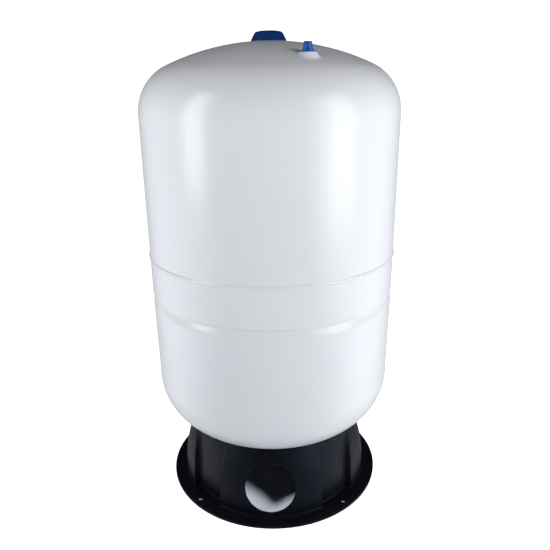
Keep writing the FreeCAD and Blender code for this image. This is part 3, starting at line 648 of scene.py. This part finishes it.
def buildStand():
    panel, recess = standOutline(True), standOutline(False)
    edge = stand["edge"] / 2
    start, end, spread = stand["recessStart"], stand["recessEnd"], stand["recessSpread"]
    data = bpy.data.meshes.new("stand")
    form = bmesh.new()
    columns = []
    for step in range(stand["columns"]):
        angle = math.tau * step / stand["columns"]
        folded = math.degrees(abs((angle + math.pi / 2) % math.pi - math.pi / 2))
        column = []
        for (r0, z0), (r1, z1) in zip(recess, panel):
            far = end + spread * (min(z0, 105) / 105) ** 3
            entering = smoothStep(start - edge, start + edge, folded)
            leaving = smoothStep(far - edge, far + edge, folded)
            raised = 1 - entering * (1 - leaving)
            r, z = r0 + (r1 - r0) * raised, z0 + (z1 - z0) * raised
            column.append(form.verts.new((mm(r * math.sin(angle)), mm(-r * math.cos(angle)), mm(z))))
        columns.append(column)
    count = len(panel)
    for step in range(stand["columns"]):
        here, there = columns[step], columns[(step + 1) % stand["columns"]]
        for index in range(count):
            following = (index + 1) % count
            form.faces.new((here[index], there[index], there[following], here[following]))
    bmesh.ops.recalc_face_normals(form, faces=form.faces)
    form.to_mesh(data)
    form.free()
    item = finishMesh("stand_moulded", data, "stand", "vessel", 30)
    cutAway(item, pipeHoleCutter())
    radius = stand["anchorHole"]
    for number in range(4):
        angle = math.radians(45 + 90 * number)
        place = (stand["anchorCircle"] * math.sin(angle), -stand["anchorCircle"] * math.cos(angle), 0)
        outline = [(0, -2), (radius + 0.5, -2), (radius + 0.5, 0.1), (radius, 0.6),
                   (radius, stand["deck"] - 0.6), (radius + 0.7, stand["deck"] + 0.1),
                   (radius + 0.7, stand["deck"] + 4), (0, stand["deck"] + 4)]
        cutAway(item, turnedMesh("anchorHole", outline, 40, place))
    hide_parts("stand")
    print("stand:", len(item.data.polygons))


def pipeHoleCutter():
    # a round cutter whose flared mouth follows the curved wall, which leaves a rounded edge
    mouth = [(-9, 1.2), (0, 1.2), (0.3, 0.6), (0.9, 0.15), (2.0, 0)]
    data = bpy.data.meshes.new("pipeHole")
    form = bmesh.new()
    sides = 128
    rings = []
    for depth, flare in mouth + [(60, 0)]:
        ring = []
        for side in range(sides):
            turn = math.tau * side / sides
            radius = stand["pipeHole"] + flare
            x, z = radius * math.cos(turn), stand["pipeHeight"] + radius * math.sin(turn)
            wall = bulge(stand["panel"], stand["panelArc"], z)
            ring.append(form.verts.new((mm(x), mm(-math.sqrt(wall ** 2 - x ** 2) + depth), mm(z))))
        rings.append(ring)
    for low, high in zip(rings, rings[1:]):
        for side in range(sides):
            form.faces.new((low[side], low[(side + 1) % sides], high[(side + 1) % sides], high[side]))
    for ring in (rings[0], rings[-1]):
        form.faces.new(ring)
    bmesh.ops.recalc_face_normals(form, faces=form.faces)
    form.to_mesh(data)
    form.free()
    return data


buildStand()

boss = {
    "inner": 136.8,
    "width": 19,
    "height": 13,
    "middle": 113.5,
    "round": 1.4,
}


def buildBosses():
    # four blocks inside the stand that the hoop's screws bite into
    data = bpy.data.meshes.new("standBosses")
    form = bmesh.new()
    for number in range(4):
        block = bmesh.ops.create_cube(form, size=1.0)["verts"]
        outer = bulge(stand["panel"], stand["panelArc"], boss["middle"]) - 3
        turn = Matrix.Rotation(math.radians(45 + 90 * number), 4, "Z")
        for vertex in block:
            taper = 1 - 0.08 * (vertex.co.y + 0.5)
            radius = boss["inner"] if vertex.co.y > 0 else outer
            vertex.co = turn @ Vector((mm(vertex.co.x * boss["width"] * taper), mm(-radius),
                                       mm(boss["middle"] + vertex.co.z * boss["height"] * taper)))
    bmesh.ops.bevel(form, geom=form.edges[:], offset=mm(boss["round"]), segments=3, affect="EDGES",
                    profile=0.5)
    bmesh.ops.recalc_face_normals(form, faces=form.faces)
    form.to_mesh(data)
    form.free()
    item = finishMesh("stand_bosses", data, "stand", "vessel", 40)


buildBosses()


bigCap = {
    "radius": 29,
    "bottom": 798.3,
    "shoulderRadius": 22.6,
    "shoulder": 808.8,
    "fillet": 7,
    "top": 813.6,
    "crown": 260,
    "flat": 17,
    "wall": 1.8,
    "grip": 20.8,
}


def buildBigCap():
    # the cone, its rounded shoulder and shallow crown, and the snap ring inside
    crown, flat, wall, top = (bigCap[key] for key in ("crown", "flat", "wall", "top"))
    radius, bottom, grip = bigCap["radius"], bigCap["bottom"], bigCap["grip"]
    shoulder, shoulderRadius = bigCap["shoulder"], bigCap["shoulderRadius"]
    rim = top - crown + math.sqrt(crown ** 2 - flat ** 2)
    outer = [(radius - 0.9, bottom), (radius - 0.25, bottom + 0.15), (radius - 0.1, bottom + 0.7)]
    outer += roundCorners([(radius - 0.1, bottom + 0.7),
                           (shoulderRadius - 0.6, shoulder + 2.9, bigCap["fillet"]),
                           (flat - 3, rim + 0.12)], 6)[1:]
    outer += [(flat * k, top - crown + math.sqrt(crown ** 2 - (flat * k) ** 2))
              for k in (0.65, 0.45, 0.25, 0.12, 0)]
    inner = [(0, top - wall), (flat - 1, rim - wall), (shoulderRadius - 3, shoulder + 0.6),
             (grip, shoulder - 2), (grip, bottom + 1.4), (grip + 0.5, bottom + 0.8),
             (grip + 1.2, bottom + 1.1), (grip + 1.2, shoulder - 3.4), (radius - wall, bottom)]
    data = turnedMesh("bigCap", outer + inner, 160)
    item = finishMesh("charging_valve_cap_moulded", data, "navy", "charging_cap", 40)
    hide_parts("charging_valve_cap")


smallCap = {
    "flange": 13.6,
    "lift": 0.4,
    "flangeHeight": 1,
    "root": 7.5,
    "tip": 6.1,
    "height": 13.8,
    "wall": 1.1,
}


def buildSmallCap():
    # a tapered thimble with a thin wide flange and a slight step at its foot
    low, root, tip, wall = smallCap["lift"], smallCap["root"], smallCap["tip"], smallCap["wall"]
    top, flangeTop = low + smallCap["height"], low + smallCap["flangeHeight"]
    outline = roundCorners([
        (root - wall, low),
        (smallCap["flange"], low, 0.3),
        (smallCap["flange"], flangeTop, 0.35),
        (root + 0.7, flangeTop, 0.5),
        (root + 0.35, flangeTop + 2.9, 0.4),
        (root - 0.35, flangeTop + 3.5, 0.5),
        (tip, top, 0.75),
        (0, top),
        (0, top - wall),
        (tip - wall, top - wall, 0.4),
        (root - wall - 0.2, flangeTop + 2),
    ], 12)
    data = turnedMesh("smallCap", outline, 96, (portX, portY, port["height"]))
    item = finishMesh("gauge_valve_cap_moulded", data, "clearBlue", "gauge_cap", 40)
    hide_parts("gauge_valve_cap")


buildBigCap()
buildSmallCap()
print("caps built")


def threaded(outline, low, high, major, depth, pitch):
    # puts points along a wall so that a helical thread can be cut into it
    count = round((high - low) / pitch * 8)
    wall = [(major, low + (high - low) * step / count) for step in range(count + 1)]

    def thread(angle, r, z):
        if not (low < z < high and abs(r - major) < 0.01):
            return r, z
        turn = (z / pitch + angle / math.tau) % 1.0
        crest = smoothStep(0.06, 0.44, turn) - smoothStep(0.56, 0.94, turn)
        runOut = smoothStep(low, low + pitch, z) * (1 - smoothStep(high - pitch, high, z))
        return r - depth * (1 - crest) * runOut, z
    index = next(i for i, point in enumerate(outline) if point == "thread")
    return outline[:index] + wall + outline[index + 1:], thread


water = {
    "thread": 16.62,
    "end": 62,
    "relief": 97,
    "bore": 12.5,
    "flange": 27,
    "under": 115.2,
    "depth": 1.1,
    "pitch": 2.309,          # the pipe thread's eleven turns to the inch
}


def buildWaterConnection():
    radius, under, end, relief = water["thread"], water["under"], water["end"], water["relief"]
    top = under + 5
    outline, thread = threaded(
        [(water["bore"], end + 0.6), (water["bore"] + 0.6, end), (radius - 1.5, end), "thread",
         (radius - 0.8, relief + 0.4), (radius - 0.8, relief + 1.2), (radius, relief + 1.6),
         (radius, under), (radius + 3, under), (radius + 3, under + 2.7), (radius + 6.2, under + 2.7),
         (radius + 6.2, under), (water["flange"], under), (water["flange"], top - 1),
         (water["flange"] - 1, top), (water["bore"] + 2, top), (water["bore"], top - 2)],
        end + 1.5, relief, radius, water["depth"], water["pitch"])
    data = turnedMesh("waterConnection", outline, 128, shift=thread)
    item = finishMesh("water_connection_threaded", data, "stainless", "vessel", 40)
    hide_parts("water_connection")


valve = {
    "stem": 3.85,
    "bore": 2.6,
    "neck": 4.9,
    "flange": 8,
    "flangeHeight": 3,
    "back": 3.8,
    "stemLength": 10,
    "depth": 0.36,
    "pitch": 0.794,          # the valve thread's 32 turns to the inch
}


def buildValveBody(name, node, neckTop, place):
    # flange inside the shell, plain neck through it, and the thin threaded stem
    face = -valve["back"]
    back = face - valve["flangeHeight"]
    top = neckTop + valve["stemLength"]
    stem, bore, neck, flange = (valve[key] for key in ("stem", "bore", "neck", "flange"))
    outline, thread = threaded(
        [(bore, back), (flange - 0.5, back), (flange, back + 0.5), (flange, face), (neck, face),
         (neck, neckTop - 0.5), (neck - 0.5, neckTop), (stem, neckTop), "thread", (stem - 0.6, top),
         (bore + 0.3, top), (bore, top - 0.3)],
        neckTop + 0.3, top - 0.6, stem, valve["depth"], valve["pitch"])
    data = turnedMesh(name, outline, 96, place, thread)
    item = finishMesh(name, data, "brass", "vessel", 40)
    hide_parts(node)


buildWaterConnection()
buildValveBody("charging_valve_threaded", "charging_valve_body", 5, (0, 0, tank["seatFloor"]))
buildValveBody("gauge_valve_threaded", "gauge_valve_body", 2.6, (portX, portY, port["height"]))
print("threaded fittings built")


camera = {
    "distance": 1016.9,      # from the vessel's axis, along the floor
    "height": 762.2,
    "turn": 2.7,             # degrees from straight ahead of the pipe hole
    "pitch": 19.68,          # degrees down
    "yaw": 0.315,            # degrees to the right
    "roll": -0.693,
    "lens": 38.51,
}


def placeCamera():
    turn, pitch, yaw, roll = (math.radians(camera[key]) for key in ("turn", "pitch", "yaw", "roll"))
    data = bpy.data.cameras.new("camera")
    data.lens = camera["lens"]
    data.sensor_width = 36
    data.clip_end = 50
    item = bpy.data.objects.new("camera", data)
    bpy.context.scene.collection.objects.link(item)
    item.location = (mm(camera["distance"] * math.sin(turn)), mm(-camera["distance"] * math.cos(turn)),
                     mm(camera["height"]))
    look = Vector((math.sin(yaw) * math.cos(pitch), math.cos(yaw) * math.cos(pitch), -math.sin(pitch)))
    look.rotate(Matrix.Rotation(turn, 3, "Z"))
    right = look.cross(Vector((0, 0, 1))).normalized()
    up = right.cross(look)
    rolledRight = right * math.cos(roll) + up * math.sin(roll)
    rolledUp = up * math.cos(roll) - right * math.sin(roll)
    facing = Matrix((rolledRight, rolledUp, -look)).transposed().to_4x4()
    item.matrix_world = Matrix.Translation(item.location) @ facing
    bpy.context.scene.camera = item


placeCamera()

studio = {
    "paperTone": "#f4f5f7",
    "paperGlow": 1.1,        # the sweep behind the vessel is overexposed, so it shows no horizon
    "sweepRadius": 8000,
    "sweepHeight": 6000,
    "cove": 1500,
    # the pad's grey is painted shade: the paper under the stand is darkened for the shade there, while the
    # strips light it through the pipe hole and the stand casts real shadows on it
    "padShadeTone": "#7b8089",
    "padRadius": 199,        # the patch of paper that the stand covers
    "below": 0.68,           # how bright the room is below, at eye level and overhead
    "level": 0.19,
    "overhead": 0.035,
    "floorFade": -0.5,       # the heights, as sines, where the room has reached its floor and ceiling
    "ceilingFade": 0.55,
    "behind": 0.75,          # how much of the room's light is left behind the vessel
    "sides": 3.6,            # how many times brighter the walls to its left and right are
    "wallsFrom": 0.6,
    "roomTone": "#eef1f7",
}

softboxes = {
    "leftStrip": {"turn": -59, "distance": 1500, "height": 800, "width": 340, "tall": 1300, "radiance": 130},
    "rightStrip": {"turn": 45, "distance": 1500, "height": 800, "width": 340, "tall": 1300, "radiance": 120},
    "left": {"turn": -61.5, "distance": 1500, "height": 1150, "width": 480, "tall": 1650, "radiance": 5.5},
    "right": {"turn": 60, "distance": 1900, "height": 1100, "width": 740, "tall": 2050, "radiance": 4.1},
    "rightFront": {"turn": 45, "distance": 1900, "height": 1000, "width": 620, "tall": 1950, "radiance": 2.3},
}


def buildPaper():
    # matt paper: a small pad under the stand, painted grey as the shade that falls there, and a sweep that
    # only the camera sees
    pad = bpy.data.meshes.new("floor")
    steps = 96
    ring = [(math.cos(math.tau * k / steps), math.sin(math.tau * k / steps)) for k in range(steps)]
    pad.from_pydata([(x * mm(studio["padRadius"]), y * mm(studio["padRadius"]), 0) for x, y in ring], [],
                    [tuple(range(steps))])
    # painted shade: the pad's paper is grey, not white, to stand in for the shade under the stand
    pad.materials.append(newMaterial("paper matt painted shade grey", studio["padShadeTone"], 0.9))
    sweep = bpy.data.meshes.new("sweep")
    reach, cove = studio["sweepRadius"], studio["cove"]
    outline = [(1, 0)] + arcPoints((reach - cove, cove), cove, 270, 360, 8) + [(reach, studio["sweepHeight"])]
    places = [(x * mm(r), y * mm(r), mm(z) - 0.0005) for r, z in outline for x, y in ring]
    faces = [(k * steps + j, k * steps + (j + 1) % steps,
              (k + 1) * steps + (j + 1) % steps, (k + 1) * steps + j)
             for k in range(len(outline) - 1) for j in range(steps)]
    sweep.from_pydata(places, [], faces)
    sweep.materials.append(newMaterial("paper white lit from behind", studio["paperTone"], 0.9,
                                       Emission_Color=(1, 1, 1, 1), Emission_Strength=studio["paperGlow"]))
    for data in (pad, sweep):
        item = bpy.data.objects.new(data.name, data)
        bpy.context.scene.collection.objects.link(item)
    item.visible_diffuse = item.visible_glossy = item.visible_shadow = item.visible_transmission = False


def buildRoom():
    # a soft grey room: brightest from below and the sides, dark overhead, and dimmer behind the vessel
    world = bpy.data.worlds.new("room")
    world.use_nodes = True
    bpy.context.scene.world = world
    direction = addNode(world, "ShaderNodeTexCoord").outputs["Generated"]
    split = addNode(world, "ShaderNodeSeparateXYZ", links={"Vector": direction})
    low = addNode(world, "ShaderNodeMapRange", {"interpolation_type": "SMOOTHSTEP"},
                  {"From Min": studio["floorFade"], "From Max": 0.0, "To Min": studio["below"],
                   "To Max": studio["level"]}, {"Value": split.outputs["Z"]})
    high = addNode(world, "ShaderNodeMapRange", {"interpolation_type": "SMOOTHSTEP"},
                   {"From Min": 0.0, "From Max": studio["ceilingFade"], "To Min": 0.0,
                    "To Max": studio["overhead"] - studio["level"]}, {"Value": split.outputs["Z"]})
    height = addNode(world, "ShaderNodeMath", {"operation": "ADD"},
                     links={0: low.outputs["Result"], 1: high.outputs["Result"]})
    depth = addNode(world, "ShaderNodeMapRange", {"interpolation_type": "SMOOTHSTEP"},
                    {"From Min": -0.2, "From Max": 0.9, "To Min": 1.0, "To Max": studio["behind"]},
                    {"Value": split.outputs["Y"]})
    side = addNode(world, "ShaderNodeMath", {"operation": "ABSOLUTE"}, links={0: split.outputs["X"]})
    walls = addNode(world, "ShaderNodeMapRange", {"interpolation_type": "SMOOTHSTEP"},
                    {"From Min": studio["wallsFrom"], "From Max": 1.0, "To Min": 1.0,
                     "To Max": studio["sides"]},
                    {"Value": side.outputs["Value"]})
    across = addNode(world, "ShaderNodeMath", {"operation": "MULTIPLY"},
                     links={0: depth.outputs["Result"], 1: walls.outputs["Result"]})
    strength = addNode(world, "ShaderNodeMath", {"operation": "MULTIPLY"},
                       links={0: height.outputs["Value"], 1: across.outputs["Value"]})
    background = world.node_tree.nodes["Background"]
    background.inputs["Color"].default_value = linearColour(studio["roomTone"])
    world.node_tree.links.new(strength.outputs["Value"], background.inputs["Strength"])


def buildSoftboxes():
    # three softboxes for the vessel, and two strong strips that only light the pad through the pipe hole
    padOnly = bpy.data.collections.new("padOnly")
    padOnly.objects.link(bpy.data.objects["floor"])
    for name, box in softboxes.items():
        data = bpy.data.lights.new(name + "Softbox", "AREA")
        data.shape = "RECTANGLE"
        data.size, data.size_y = mm(box["width"]), mm(box["tall"])
        data.energy = box["radiance"] * math.pi * data.size * data.size_y
        item = bpy.data.objects.new(name + "Softbox", data)
        bpy.context.scene.collection.objects.link(item)
        turn = math.radians(box["turn"] + camera["turn"])
        item.location = (mm(box["distance"] * math.sin(turn)), mm(-box["distance"] * math.cos(turn)),
                         mm(box["height"]))
        item.rotation_euler = (math.radians(90), 0, turn)
        if name.endswith("Strip"):
            item.light_linking.receiver_collection = padOnly


buildPaper()
buildRoom()
buildSoftboxes()
bpy.context.scene.view_settings.view_transform = "Standard"
print("studio built")
